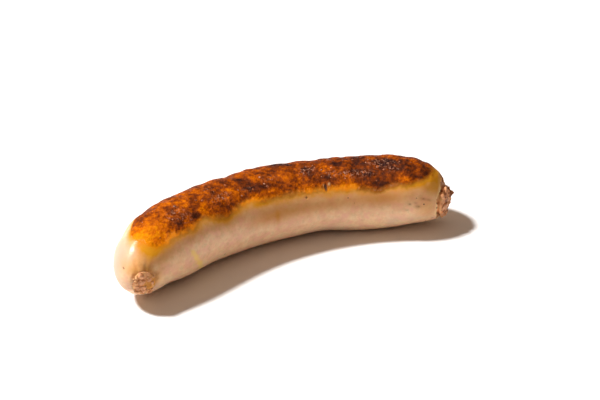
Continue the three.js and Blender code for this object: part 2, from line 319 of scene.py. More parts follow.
@dataclass(frozen=True)
class Browning:
    """Where the skin is browned, scorched, blistered and stained, and where light and shade are painted, as
    spots on it.
    """

    front_edge: float = 40.0
    back_edge: float = 150.0
    crust_start: float = 11.4
    start_slant: float = 0.0165
    start_turn: float = 100.0
    start_span: float = 28.0
    crust_end: float = 152.3
    end_softness: float = 0.9
    front_lobes: tuple[tuple[float, float, float], ...] = (
        (7.0, 28.0, 6.0),
        (20.0, 7.0, 8.0),
        (41.0, 6.0, 4.0),
        (53.0, -5.0, 5.0),
        (66.0, 5.0, 7.0),
        (88.0, -1.0, 8.0),
        (112.0, -4.0, 8.0),
        (128.0, -11.0, 7.0),
        (156.0, 48.0, 7.0),
    )
    back_lobes: tuple[tuple[float, float, float], ...] = (
        (35.0, 8.0, 8.0),
        (70.0, -8.0, 9.0),
        (101.0, 9.0, 7.0),
        (132.0, -6.0, 8.0),
    )
    scorches: tuple[Spot, ...] = spots(
        (26, 50, 2.5, 5, 0.5), (29.5, 57, 3.5, 7, 0.9), (27.8, 77, 3, 7, 0.6), (20, 52, 3, 7, 0.5),
        (39, 54, 3.5, 7, 0.9), (32.5, 91, 4, 9, 0.55), (38.5, 68, 3.5, 12, 0.55),
        (45, 86, 3.5, 9, 0.5), (46.5, 74, 1.5, 4, 0.8), (55.5, 48, 3.5, 8, 0.7),
        (53.5, 78, 4.5, 6, 0.6), (61, 95, 3, 12, 0.8), (68.5, 84, 4, 13, 0.95),
        (69, 64, 3.5, 6, 0.7), (77, 63, 4, 8, 0.8), (76, 92, 3, 8, 0.55), (88, 54, 3, 5, 0.7),
        (82, 78, 2, 6, 0.5), (91, 97, 3, 10, 0.8), (98, 73, 3.2, 15, 0.95), (105.5, 58, 3, 7, 0.6),
        (105.5, 77, 3, 7, 0.4), (112.5, 82, 3.5, 11, 0.95), (121, 92, 3.5, 16, 0.95),
        (118, 66, 4, 6, 0.65), (125, 58, 4.5, 8, 0.75), (129, 42, 5, 9, 0.95),
        (132, 84, 6.5, 9, 1.1), (133.5, 68, 4, 7, 1), (142, 76, 3.5, 7, 0.5),
        (146.5, 57, 5, 6, 0.6), (150, 78, 2, 16, 0.45),
    )
    ambers: tuple[Spot, ...] = spots(
        (14, 92, 4.5, 32, 1.45), (21, 76, 5, 13, 0.65), (23, 94, 4, 8, 0.8), (36.5, 79, 3, 7, 0.5),
        (44.5, 80, 3, 7, 0.3), (54, 63, 3, 7, 0.5), (77, 97, 4, 8, 0.55), (78, 52, 7, 6, 0.5),
        (94, 49, 5, 6, 0.5), (106, 46, 6, 5, 0.5), (115.5, 44, 6.5, 7, 0.95), (19, 52, 6, 10, 0.7),
        (36, 97, 5, 10, 0.4), (44, 58, 3, 10, 0.6), (60, 70, 3, 10, 0.6), (72, 84, 3, 10, 0.35),
        (87, 73, 4, 9, 0.7), (69, 45, 6, 6, 0.9), (97, 40, 5, 6, 1), (107, 36, 4, 5, 0.8),
        (107, 84, 2.5, 14, 0.55), (115, 38, 6, 6, 1.2), (35, 44, 3, 5, 0.5), (141, 52, 3.5, 6, 0.9),
        (146, 92, 3, 8, 0.5), (154.5, 52, 3, 16, 0.7),
    )
    blisters: tuple[Spot, ...] = spots(
        (31, 74, 6, 14, 0.6), (34, 57, 3, 8, 0.6), (54, 68, 5, 8, 1), (52, 88, 3, 8, 0.5),
        (68, 66, 4, 6, 0.5), (80, 75, 5, 9, 0.5), (97.5, 78, 4, 10, 1), (107, 66, 3, 8, 0.5),
        (119, 61, 9, 8, 0.9), (132, 82, 7, 10, 1), (137, 66, 4, 5, 0.8),
    )
    gilds: tuple[Spot, ...] = spots(
        (11, 60, 4, 16, 0.8), (7.5, 66, 3.5, 14, 0.8), (8.8, 83, 3, 10, 0.35),
        (4.2, 86, 3, 12, 0.35), (4.5, 134, 3, 14, 0.3), (3.5, 101, 2.5, 14, 0.3),
        (6, 108, 3, 14, 0.15), (2.2, 114, 2.2, 18, 0.6), (2.4, 60, 1.2, 24, 0.5),
        (2.2, 4, 1.4, 26, 0.45), (153.5, 62, 5, 28, 0.9), (156, 70, 3, 30, 0.4),
        (148, 44, 6, 8, 0.5), (69, 36, 6, 5, 0.4), (129, 25, 6, 12, -0.7), (50, 32, 12, 8, 0.22),
    )
    # Brown spots: small real specks near the open end, and a broad spot of painted shade on the open end's
    # far shoulder at 154.5 mm and 122 degrees.
    toast_and_shade_spots: tuple[Spot, ...] = spots(
        (2.6, 68, 2.2, 18, 0.55), (154.5, 122, 5, 26, 0.9), (132, 20, 9, 7, 0.2),
        (151, 22, 1.6, 2.6, 0.45), (154, 22, 1.4, 2.6, 0.4), (149, 6, 1.6, 3.2, 0.5),
        (144.8, 9, 0.9, 2.2, 0.45), (143.5, -2, 1.2, 2.4, 0.3), (147.5, 12, 1, 2, 0.35),
    )
    # Painted light: paler spots on the underside for light bounced from the floor, and on the key-lit left
    # nose.
    painted_light_spots: tuple[Spot, ...] = spots(
        (9.5, 137, 5.5, 34, 1), (10, 175, 8, 30, 0.7), (106, -50, 14, 20, 0.55),
        (10, -32, 7, 14, 0.35), (137, -28, 4, 12, 0.5), (148, -25, 7, 12, 0.4),
    )
    # Tan spots, mostly painted shade where the side faces away from the key light: under the crust, on the
    # left nose and at the open end. The thin spot at 78.5 mm is a real olive mark.
    tan_and_shade_spots: tuple[Spot, ...] = spots(
        (3.5, 16, 4, 30, 0.4), (10.5, 36, 4.5, 16, 0.5), (5.2, 64, 2, 10, 0.35),
        (19, 8, 9, 22, 0.18), (76, 15, 15, 14, 0.68), (104, 14, 21, 14, 0.58),
        (134, 20, 15, 17, 0.62), (78.5, 8, 1.2, 15, 0.22), (154, 2, 6, 28, 0.55),
        (154, 110, 6, 28, 1),
    )
    toasted_from: float = 18.0
    toasted_to: float = 150.0
    dulling: float = 0.25
    dulling_to_open_end: float = 0.6
    pits: tuple[Spot, ...] = spots(
        (50.5, -31, 0.7, 2, 1), (94.2, 31, 0.6, 1.8, 1.1), (104.2, 42, 0.75, 6.5, 1.3),
        (150.9, 22, 0.6, 1.5, 0.8), (153.4, 23, 0.45, 1.2, 0.6), (144.8, 9, 0.55, 1.4, 0.8),
        (149.6, 5, 0.8, 1.6, 0.5), (143.8, -2, 0.5, 1.2, 0.4), (143, 22, 0.5, 1.4, 0.5),
        (156.2, -38, 0.8, 2.2, 0.8), (158.6, 3, 0.8, 4.5, 1.1), (158.6, -21, 0.8, 5, 1.1),
        (4.9, 139, 0.5, 3, 0.9), (117.5, 13, 0.5, 3, 0.4), (75, -6, 0.8, 1.8, 0.35),
        (77.5, 12, 0.4, 3.5, 0.4), (35, 9, 0.5, 1.2, 0.6),
    )
    blushes: tuple[Spot, ...] = spots(
        (37, -8, 3.5, 9, 0.9), (8, 10, 5, 14, 0.4), (88, -14, 7, 8, 0.6), (136, -14, 3.5, 10, 0.8),
        (128, 12, 9, 6, 0.6), (86, -48, 4, 8, 0.5), (62, 4, 7, 8, 0.4), (108, -20, 6, 8, 0.4),
    )
    # Curls of torn skin, raised and painted pale; the pale colour is partly a painted highlight.
    peels: tuple[Spot, ...] = spots(
        (138.5, -33, 0.9, 3, 0.9), (106.1, 46.5, 0.5, 2, 1), (103.4, 46.5, 0.25, 1.6, 0.5),
    )
    vein_start: tuple[float, float] = (28.3, 8.0)
    vein_end: tuple[float, float] = (37.5, -42.0)
    vein_width: float = 1.9
    back_seed: int = 7
    back_spots: int = 16
    back_stations: tuple[float, float] = (16.0, 146.0)
    back_jitter: float = 3.0
    back_angles: tuple[float, float] = (108.0, 146.0)
    back_lengths: tuple[float, float] = (2.5, 5.0)
    back_turns: tuple[float, float] = (6.0, 13.0)
    back_amounts: tuple[float, float] = (0.5, 1.0)

    def hidden_spots(self) -> tuple[Spot, ...]:
        """Scorches on the far side, which are spread by a seeded draw."""
        draw = np.random.default_rng(self.back_seed)
        jitter = draw.uniform(-self.back_jitter, self.back_jitter, self.back_spots)
        stations = np.linspace(*self.back_stations, self.back_spots) + jitter
        spans = (self.back_angles, self.back_lengths, self.back_turns, self.back_amounts)
        return spots(*zip(stations, *[draw.uniform(*span, self.back_spots) for span in spans]))

    def edge(
        self, base: float, lobes: Sequence[tuple[float, float, float]], station: Array
    ) -> Array:
        """Angle of one edge of the crust, in degrees, with its lobes, at each station."""
        return base + sum(turn * np.exp(-(((station - at) / width) ** 2)) for at, turn, width in lobes)

    def crust(self, station: Array, angle: Array) -> Array:
        """Distance in mm inside the crust's nearest edge, negative outside it."""
        degrees = np.degrees(angle)
        front = degrees - self.edge(self.front_edge, self.front_lobes, station)
        back = self.edge(self.back_edge, self.back_lobes, station) - degrees
        around = np.minimum(front, back) * np.radians(FORM.skin_radius(station))
        turned = np.clip(degrees - self.start_turn, 0.0, self.start_span)
        start = self.crust_start + self.start_slant * turned**2
        along = np.minimum(station - start, self.crust_end - station)
        return np.minimum(around, along * self.end_softness)

    def warmth(self, station: Array, angle: Array) -> Array:
        """How light the crust is: high at its amber places, and lower towards the open end."""
        place = (station - self.toasted_from) / (self.toasted_to - self.toasted_from)
        dull = self.dulling + self.dulling_to_open_end * np.clip(place, 0.0, 1.0)
        return sum_of(self.ambers, station, angle) - dull

    def vein(self, station: Array, angle: Array) -> Array:
        """Strength of the herb-coloured vein on the pale side."""
        per_degree = math.radians(FORM.middle_radius)
        start = np.array([self.vein_start[0], self.vein_start[1] * per_degree])
        end = np.array([self.vein_end[0], self.vein_end[1] * per_degree])
        run = end - start
        place = np.stack([station, np.degrees(angle) * per_degree], axis=-1) - start
        part = np.clip(place @ run / (run @ run), 0.0, 1.0)
        away = np.linalg.norm(place - part[..., None] * run, axis=-1)
        return np.exp(-((away / self.vein_width) ** 2))


BROWNING = Browning()


def add_mesh(
    name: str,
    points: Array,
    faces: list[list[int]],
    masks: dict[Mask, Array],
) -> Thing:
    """Makes an object from points in mm, with one number per point for each mask.

    Args:
        name: Name of the object and its mesh.
        points: Points in mm, in a grid or a row.
        faces: Indices of the corners of each face.
        masks: Values for each attribute, in the points' order.

    Returns:
        The new object, linked to the scene and shaded smooth.
    """
    mesh = bpy.data.meshes.new(name)
    mesh.from_pydata((points.reshape(-1, 3) * MM).tolist(), [], faces)
    mesh.validate()
    mesh.shade_smooth()
    for mask, values in masks.items():
        layer = mesh.attributes.new(mask.value, "FLOAT", "POINT")
        layer.data.foreach_set("value", np.ascontiguousarray(values, dtype=np.float32).ravel())
    return add_object(name, mesh)


def add_object(name: str, data: bpy.types.ID) -> Thing:
    """Links a new object to the scene; data is its mesh, light or camera."""
    thing = bpy.data.objects.new(name, data)
    bpy.context.collection.objects.link(thing)
    return thing


def grid_faces(rows: int, columns: int, closed: bool) -> list[list[int]]:
    """Quads of a grid whose rows are rings of points.

    Args:
        rows: Number of rings of points.
        columns: Number of points in a ring.
        closed: Whether the last ring joins the first; if not, a face closes each end.

    Returns:
        The corner indices of each face.
    """
    row = np.arange(rows if closed else rows - 1)[:, None]
    column = np.arange(columns)[None, :]
    ahead = (row + 1) % rows
    beside = (column + 1) % columns
    corners = [row * columns + column, row * columns + beside]
    corners += [ahead * columns + beside, ahead * columns + column]
    quads = [np.broadcast_to(corner, (row.size, columns)) for corner in corners]
    faces = np.stack(quads, axis=-1).reshape(-1, 4).tolist()
    if not closed:
        faces.append(list(range(columns))[::-1])
        faces.append(list(range((rows - 1) * columns, rows * columns)))
    return faces


def ring_grids(columns: int, *rings: Array) -> tuple[Array, ...]:
    """Spreads values that each ring has one of over all its points.

    Args:
        columns: Number of points in a ring.
        rings: Arrays with one value for each ring.

    Returns:
        A grid for each array, and last the grid of angles from the bottom round to it again.
    """
    shape = (rings[0].size, columns)
    angle = np.linspace(-np.pi / 2.0, 1.5 * np.pi, columns, endpoint=False)
    grids = [np.broadcast_to(values[:, None], shape) for values in rings]
    return (*grids, np.broadcast_to(angle, shape))


def crowded(count: int, crowding: float) -> Array:
    """Stations from mouth to mouth, the closer together near both the higher crowding is."""
    even = np.linspace(0.0, 1.0, count)
    eased = (1.0 - np.cos(np.pi * even)) / 2.0
    run = FORM.open_mouth - FORM.gathered_mouth
    return FORM.gathered_mouth + run * (even + (eased - even) * crowding)


def to_nearest_mouth(station: Array) -> Array:
    """Distance of each station from the nearest mouth, in mm."""
    return np.minimum(station - FORM.gathered_mouth, FORM.open_mouth - station)


class Nodes:
    """A small pen for node trees: it adds nodes, sets their inputs and links them."""

    def __init__(self, tree: bpy.types.NodeTree, place_node: str, place_output: str) -> None:
        """Starts a pen for a tree, with the node and output that give the place of each point."""
        self.tree = tree
        self.place = self.add(place_node).outputs[place_output]

    def add(
        self, kind: str, inputs: dict[int | str, object] | None = None, **settings: object
    ) -> bpy.types.Node:
        """Adds a node.

        Args:
            kind: The node's type.
            inputs: Values or sockets for its inputs, by name or place.
            settings: The node's own settings.

        Returns:
            The new node.
        """
        node = self.tree.nodes.new(kind)
        for name, value in settings.items():
            setattr(node, name, value)
        for key, value in (inputs or {}).items():
            self.feed(node.inputs[key], value)
        return node

    def feed(self, socket: Socket, value: object) -> None:
        """Links a socket to the input, or sets the input to a plain value."""
        if isinstance(value, Socket):
            self.tree.links.new(value, socket)
        else:
            socket.default_value = value

    def math(self, operation: str, first: object, second: object, clamp: bool) -> Socket:
        """Result of a Math node."""
        node = self.add("ShaderNodeMath", {0: first, 1: second}, operation=operation, use_clamp=clamp)
        return node.outputs[0]

    def plus(self, first: object, second: object, clamp: bool = False) -> Socket:
        """Sum of two values, kept from 0 to 1 where clamp is set."""
        return self.math("ADD", first, second, clamp)

    def minus(self, first: object, second: object) -> Socket:
        """First value less the second."""
        return self.math("SUBTRACT", first, second, False)

    def times(self, first: object, second: object, clamp: bool = False) -> Socket:
        """Product of two values, kept from 0 to 1 where clamp is set."""
        return self.math("MULTIPLY", first, second, clamp)

    def smooth(
        self, value: object, low: float, high: float, start: float = 0.0, end: float = 1.0
    ) -> Socket:
        """A smooth step of a value, from start at low to end at high."""
        inputs = {"Value": value, "From Min": low, "From Max": high, "To Min": start, "To Max": end}
        node = self.add("ShaderNodeMapRange", inputs, interpolation_type="SMOOTHSTEP")
        return node.outputs["Result"]

    def spread(self, value: object, amount: object) -> Socket:
        """A value about 0.5 turned into one about 0 and scaled."""
        return self.times(self.minus(value, 0.5), amount)

    def noise(self, size: float, detail: float = 3.0, roughness: float = 0.5) -> Socket:
        """Noise about 0.5 whose features are about size mm across."""
        inputs = {"Vector": self.place, "Scale": 1.0 / (size * MM)}
        inputs |= {"Detail": detail, "Roughness": roughness}
        return self.add("ShaderNodeTexNoise", inputs).outputs[0]

    def swing(self, size: float, detail: float, roughness: float, amount: object) -> Socket:
        """Noise about 0, whose size is in mm, scaled by the amount."""
        return self.spread(self.noise(size, detail, roughness), amount)

    def cells(self, size: float) -> Socket:
        """Distance to the nearest of points that lie about size mm apart."""
        inputs = {"Vector": self.place, "Scale": 1.0 / (size * MM)}
        return self.add("ShaderNodeTexVoronoi", inputs).outputs["Distance"]


def linear(colour: Rgb) -> tuple[float, float, float, float]:
    """Linear colour with alpha, from the 0 to 255 values that a screen shows."""
    parts = [value / 255.0 for value in colour]
    return (*[p / 12.92 if p <= 0.04045 else ((p + 0.055) / 1.055) ** 2.4 for p in parts], 1.0)


class Shader(Nodes):
    """A pen for one material, with its Principled shader at hand."""

    def __init__(self, name: str) -> None:
        """Starts a material of that name."""
        self.material = bpy.data.materials.new(name)
        self.material.use_nodes = True
        super().__init__(self.material.node_tree, "ShaderNodeTexCoord", "Object")
        self.surface = self.tree.nodes["Principled BSDF"]

    def mask(self, mask: Mask) -> Socket:
        """The value of one of the piece's attributes."""
        return self.add("ShaderNodeAttribute", attribute_name=mask.value).outputs["Fac"]

    def ramp(self, factor: object, stops: Sequence[tuple[float, Rgb]]) -> Socket:
        """Colours along a factor from 0 to 1.

        Args:
            factor: The socket that picks the colour.
            stops: Places from 0 to 1 and their colours.

        Returns:
            The colour socket.
        """
        node = self.add("ShaderNodeValToRGB", {"Fac": factor})
        ramp = node.color_ramp
        while len(ramp.elements) < len(stops):
            ramp.elements.new(1.0)
        for element, (place, colour) in zip(ramp.elements, stops):
            element.position = place
            element.color = linear(colour)
        return node.outputs["Color"]

    def blend(self, factor: object, first: object, second: object) -> Socket:
        """Mix of two colours, each a socket or a 0 to 255 colour.

        Args:
            factor: Share of the second colour.
            first: The colour at 0.
            second: The colour at 1.

        Returns:
            The colour socket.
        """
        colours = [c if isinstance(c, Socket) else linear(c) for c in (first, second)]
        inputs = {0: factor, 6: colours[0], 7: colours[1]}
        node = self.add("ShaderNodeMix", inputs, data_type="RGBA", clamp_factor=True)
        return node.outputs[2]

    def bump(self, height: object, distance: float) -> None:
        """Adds relief to the surface; height 1 stands distance mm proud."""
        inputs = {"Height": height, "Distance": distance * MM}
        earlier = self.surface.inputs["Normal"]
        if earlier.is_linked:
            inputs["Normal"] = earlier.links[0].from_socket
        node = self.add("ShaderNodeBump", inputs)
        self.feed(earlier, node.outputs["Normal"])
        self.feed(self.surface.inputs["Coat Normal"], node.outputs["Normal"])

    def set(self, **values: object) -> None:
        """Sets the Principled shader's inputs, whose names are written with underscores."""
        for name, value in values.items():
            self.feed(self.surface.inputs[name.replace("_", " ")], value)


@dataclass(frozen=True)
class BrownedSkin:
    """Finish of the casing: pale cooked skin below, and a browned and scorched crust above."""

    pale: Rgb = (238, 192, 149)
    pink: Rgb = (232, 176, 144)
    cream: Rgb = (242, 206, 161)
    shade: Rgb = (188, 138, 100)
    # Tan for the fringe below the crust's edge, and for painted shade where the tan mask lays it.
    tan_and_shade: Rgb = (198, 134, 60)
    gold: Rgb = (211, 143, 30)
    honey: Rgb = (212, 126, 4)
    olive: Rgb = (148, 88, 16)
    # Greyish cream for the painted light on the underside and the left nose.
    painted_light_cream: Rgb = (199, 168, 143)
    # Toast brown for real specks and for painted shade on the open end's far shoulder.
    toast_and_shade: Rgb = (128, 80, 36)
    gristle: Rgb = (166, 106, 58)
    # Pale cream for the rim band, partly a painted highlight on the curled edge.
    rim_and_highlight: Rgb = (250, 212, 150)
    amber: Rgb = (228, 138, 0)
    orange: Rgb = (198, 100, 0)
    rust: Rgb = (158, 73, 4)
    brown: Rgb = (116, 50, 10)
    umber: Rgb = (76, 33, 14)
    char: Rgb = (46, 24, 22)
    # Pinkish cream that paints glints on the blistered crust.
    painted_glint: Rgb = (182, 128, 102)
    mouth_tint: Rgb = (198, 136, 76)
    herb: Rgb = (240, 200, 112)
    pit: Rgb = (118, 74, 40)
    # Pale cream for the curls, partly a painted highlight.
    peel_and_highlight: Rgb = (226, 192, 140)
    glow_colour: tuple[float, float, float] = (1.0, 0.5, 0.3)
    glow_depth: float = 2.0
    shine: float = 0.02
    coat_roughness: float = 0.33
    warming: float = 0.22
    middle_tone: float = 0.52
    scorching: float = 0.27
    crag_relief: float = 0.85
    blister_relief: float = 0.35
    skin_relief: float = 0.06

    def crust_colour(self, pen: Shader) -> Socket:
        """Colour of the browned part, from amber through brown to scorched, with painted glints on its
        blisters.

        Args:
            pen: The material's pen.

        Returns:
            The colour socket.
        """
        broad = pen.swing(5.5, 3.0, 0.55, 0.65)
        fine = pen.swing(1.9, 4.0, 0.62, 0.85)
        fine = pen.times(fine, pen.smooth(pen.mask(Mask.AMBER), 0.2, 1.2, 1.0, 0.5))
        scorch = pen.smooth(pen.plus(pen.mask(Mask.SCORCH), pen.swing(3.0, 4.0, 0.6, 1.2)), 0.2, 1.1)
        warm = pen.times(pen.mask(Mask.AMBER), self.warming)
        tone = pen.plus(pen.plus(broad, fine), pen.plus(warm, self.middle_tone))
        tone = pen.minus(tone, pen.times(scorch, self.scorching))
        stops = [(0.04, self.char), (0.22, self.umber), (0.37, self.brown)]
        stops += [(0.50, self.rust), (0.64, self.orange), (0.82, self.amber)]
        colour = pen.ramp(tone, stops)
        # Painted glints: pale flecks on the blistered patches.
        glint_pattern = pen.smooth(pen.noise(1.1, 3.0, 0.6), 0.5, 0.66)
        painted_glints = pen.times(glint_pattern, pen.smooth(pen.mask(Mask.BLISTER), 0.15, 0.9))
        return pen.blend(pen.times(painted_glints, 0.8), colour, self.painted_glint)

    def pale_colour(self, pen: Shader) -> Socket:
        """Colour of the pale side, with its blushes, streaks, painted shade, painted light and vein.

        Args:
            pen: The material's pen.

        Returns:
            The colour socket.
        """
        stops = [(0.36, self.pink), (0.5, self.pale), (0.64, self.cream)]
        mottle = pen.plus(pen.noise(4.0, 4.0, 0.6), pen.swing(1.4, 3.0, 0.5, 0.45))
        colour = pen.ramp(mottle, stops)
        colour = pen.blend(pen.times(pen.mask(Mask.BLUSH), 0.5), colour, self.pink)
        streak = pen.smooth(pen.noise(2.0, 4.0, 0.65), 0.4, 0.72, 0.0, 0.42)
        colour = pen.blend(streak, colour, self.shade)
        # Painted shade: tan where the side faces away from the key light.
        colour = pen.blend(pen.mask(Mask.TAN), colour, self.tan_and_shade)
        # Painted light: paler on the underside for floor bounce and on the key-lit left nose.
        colour = pen.blend(pen.mask(Mask.PAINTED_LIGHT), colour, self.painted_light_cream)
        vein = pen.plus(pen.mask(Mask.VEIN), pen.swing(2.0, 2.0, 0.5, 0.9))
        return pen.blend(pen.smooth(vein, 0.25, 1.0, 0.0, 0.85), colour, self.herb)

    def make(self) -> Material:
        """Makes the material.

        Returns:
            The finished material.
        """
        pen = Shader("browned_skin")
        broad = pen.swing(6.0, 3.0, 0.5, 3.5)
        fine = pen.swing(2.0, 3.0, 0.55, 2.0)
        inside = pen.plus(pen.plus(pen.mask(Mask.CRUST), broad), fine)
        gild = pen.times(pen.mask(Mask.GILD), 0.85)
        colour = pen.blend(pen.smooth(inside, -8.0, -2.5, 0.0, 0.45), self.pale_colour(pen), self.tan_and_shade)
        # Toast brown: real specks, and painted shade on the open end's far shoulder.
        colour = pen.blend(pen.mask(Mask.TOAST_AND_SHADE), colour, self.toast_and_shade)
        gilded = pen.plus(pen.smooth(inside, -4.2, -0.6, 0.0, 0.85), gild, clamp=True)
        colour = pen.blend(gilded, colour, self.gold)
        glow = pen.plus(pen.mask(Mask.AMBER), pen.swing(4.0, 3.0, 0.5, 2.5))
        edge = pen.blend(pen.smooth(glow, -0.5, 0.3), self.olive, self.honey)
        colour = pen.blend(pen.smooth(inside, -2.0, 0.5), colour, edge)
        colour = pen.blend(pen.smooth(inside, -0.5, 2.4), colour, self.crust_colour(pen))
        murky = pen.plus(pen.mask(Mask.GATHER), pen.swing(3.0, 3.0, 0.5, 1.1))
        mouth = pen.ramp(pen.noise(1.9, 3.0), [(0.4, self.gristle), (0.56, self.mouth_tint)])
        colour = pen.blend(pen.smooth(murky, 0.35, 0.95, 0.0, 0.85), colour, mouth)
        # Painted highlight: a pale band along the torn rim, partly its pale edge.
        colour = pen.blend(pen.times(pen.mask(Mask.RIM), 1.2, clamp=True), colour, self.rim_and_highlight)
        hole = pen.blend(pen.smooth(inside, -1.0, 1.0), self.pit, self.char)
        stain = pen.plus(pen.mask(Mask.STAIN), pen.swing(1.0, 2.0, 0.5, 0.7))
        colour = pen.blend(pen.smooth(stain, 0.2, 0.9, 0.0, 0.9), colour, hole)
        # Pale curls, partly a painted highlight.
        colour = pen.blend(pen.times(pen.mask(Mask.PEEL), 0.8, clamp=True), colour, self.peel_and_highlight)
        browned = pen.smooth(inside, -0.5, 2.0)
        rough = pen.smooth(pen.noise(1.5, 3.0), 0.3, 0.7, 0.38, 0.6)
        pen.set(Base_Color=colour, Roughness=rough)
        pen.set(Subsurface_Weight=pen.smooth(browned, 0.0, 1.0, 0.25, 0.0))
        dull = pen.plus(pen.plus(browned, gild, clamp=True), pen.mask(Mask.TAN), clamp=True)
        pen.set(Coat_Weight=pen.smooth(dull, 0.0, 1.0, 0.6, 0.04))
        pen.set(Subsurface_Radius=self.glow_colour, Subsurface_Scale=self.glow_depth * MM)
        pen.set(Specular_IOR_Level=self.shine, Coat_Roughness=self.coat_roughness)
        pen.bump(pen.times(pen.noise(1.4, 4.0, 0.68), browned), self.crag_relief)
        pen.bump(pen.times(pen.cells(0.8), pen.mask(Mask.BLISTER)), self.blister_relief)
        pen.bump(pen.noise(1.2, 4.0), self.skin_relief)
        return pen.material


@dataclass(frozen=True)
class CookedMeat:
    """Finish of the forcemeat and its grains: coarse cooked mince, browned where it was grilled, with
    painted shade at the open end.
    """

    name: str
    # The darkest stop of the mince's random tone, painted as the shade in its crevices.
    crevice_shade: Rgb = (130, 78, 44)
    lean: Rgb = (204, 134, 84)
    pink: Rgb = (240, 174, 122)
    fat: Rgb = (240, 194, 126)
    # Dark brown for seared places and for painted shade.
    seared_and_shade: Rgb = (118, 70, 36)
    golden: Rgb = (206, 140, 56)
    grain: float = 3.4
    roughness: float = 0.6
    glow: float = 0.12
    glow_colour: tuple[float, float, float] = (1.0, 0.4, 0.25)
    glow_depth: float = 1.5
    coat: float = 0.04
    shine: float = 0.15

    def make(self) -> Material:
        """Makes the material.

        Returns:
            The finished material.
        """
        pen = Shader(self.name)
        tone = pen.noise(self.grain, 4.0, 0.6)
        # The crevice stop paints shade at random in the mince.
        stops = [(0.36, self.crevice_shade), (0.44, self.lean), (0.55, self.pink), (0.68, self.fat)]
        colour = pen.ramp(tone, stops)
        # Darker where seared and where shade is painted.
        seared_and_shade = pen.times(pen.mask(Mask.GRILLED_AND_SHADE), 0.6)
        colour = pen.blend(pen.times(pen.mask(Mask.GILD), 0.75), colour, self.golden)
        colour = pen.blend(seared_and_shade, colour, self.seared_and_shade)
        pen.set(Base_Color=colour, Roughness=self.roughness)
        pen.set(Subsurface_Weight=self.glow, Subsurface_Radius=self.glow_colour)
        pen.set(Subsurface_Scale=self.glow_depth * MM, Coat_Weight=self.coat, Specular_IOR_Level=self.shine)
        pen.bump(pen.noise(0.9, 4.0, 0.6), 0.25)
        return pen.material


@dataclass(frozen=True)
class Crumb:
    """Finish of a kind of small bit, one colour that varies from bit to bit."""

    name: str
    dark: Rgb
    light: Rgb
    roughness: float
    coat: float = 0.0

    def make(self) -> Material:
        """Makes the material.

        Returns:
            The finished material.
        """
        pen = Shader(self.name)
        colour = pen.ramp(pen.noise(1.8, 3.0), [(0.35, self.dark), (0.65, self.light)])
        pen.set(Base_Color=colour, Roughness=self.roughness, Coat_Weight=self.coat)
        pen.bump(pen.noise(0.4, 3.0), 0.08)
        return pen.material


class Recipe(Nodes):
    """A Geometry Nodes tree with named inputs, which is run once on an object."""

    def __init__(self, name: str) -> None:
        """Starts a tree of that name with a Geometry input and output."""
        tree = bpy.data.node_groups.new(name, "GeometryNodeTree")
        super().__init__(tree, "GeometryNodeInputPosition", "Position")
        tree.interface.new_socket("Geometry", in_out="INPUT", socket_type="NodeSocketGeometry")
        tree.interface.new_socket("Geometry", in_out="OUTPUT", socket_type="NodeSocketGeometry")
        self.source = self.add("NodeGroupInput")
        self.end = self.add("NodeGroupOutput")
        self.values: dict[str, object] = {}

    def size(self, name: str, value: object, kind: str = "NodeSocketFloat") -> Socket:
        """Adds a named input.

        Args:
            name: The input's name.
            value: Its value for this run.
            kind: Its socket type.

        Returns:
            The socket that gives it inside the tree.
        """
        item = self.tree.interface.new_socket(name, in_out="INPUT", socket_type=kind)
        self.values[item.identifier] = value
        return self.source.outputs[name]

    def named(self, mask: Mask) -> Socket:
        """The value of one of the mesh's attributes."""
        node = self.add("GeometryNodeInputNamedAttribute", {"Name": mask.value}, data_type="FLOAT")
        return node.outputs["Attribute"]

    def random(self, low: object, high: object, seed: object) -> Socket:
        """A seeded random value for each point or instance, from low to high."""
        inputs = {2: low, 3: high, "Seed": seed}
        return self.add("FunctionNodeRandomValue", inputs, data_type="FLOAT").outputs[1]

    def push_out(self, geometry: Socket, height: object) -> Socket:
        """Moves each point of a geometry along its normal, by a height in metres."""
        normal = self.add("GeometryNodeInputNormal").outputs[0]
        push = self.add("ShaderNodeVectorMath", {0: normal, "Scale": height}, operation="SCALE")
        inputs = {"Geometry": geometry, "Offset": push.outputs[0]}
        return self.add("GeometryNodeSetPosition", inputs).outputs[0]

    def dressed(
        self, geometry: Socket, material: Material
    ) -> Socket:
        """Makes a geometry's instances real and gives all of it the material."""
        real = self.add("GeometryNodeRealizeInstances", {"Geometry": geometry}).outputs[0]
        inputs = {"Geometry": real, "Material": material}
        return self.add("GeometryNodeSetMaterial", inputs).outputs[0]

    def run(self, thing: Thing, result: Socket) -> bpy.types.Mesh:
        """Runs the tree on an object.

        Args:
            thing: The object whose mesh goes in.
            result: The geometry socket that comes out.

        Returns:
            The result as a plain mesh; the object has no modifier left.
        """
        self.feed(self.end.inputs["Geometry"], result)
        modifier = thing.modifiers.new(self.tree.name, "NODES")
        modifier.node_group = self.tree
        for identifier, value in self.values.items():
            modifier[identifier] = value
        graph = bpy.context.evaluated_depsgraph_get()
        mesh = bpy.data.meshes.new_from_object(
            thing.evaluated_get(graph), preserve_all_data_layers=True, depsgraph=graph
        )
        thing.modifiers.remove(modifier)
        return mesh


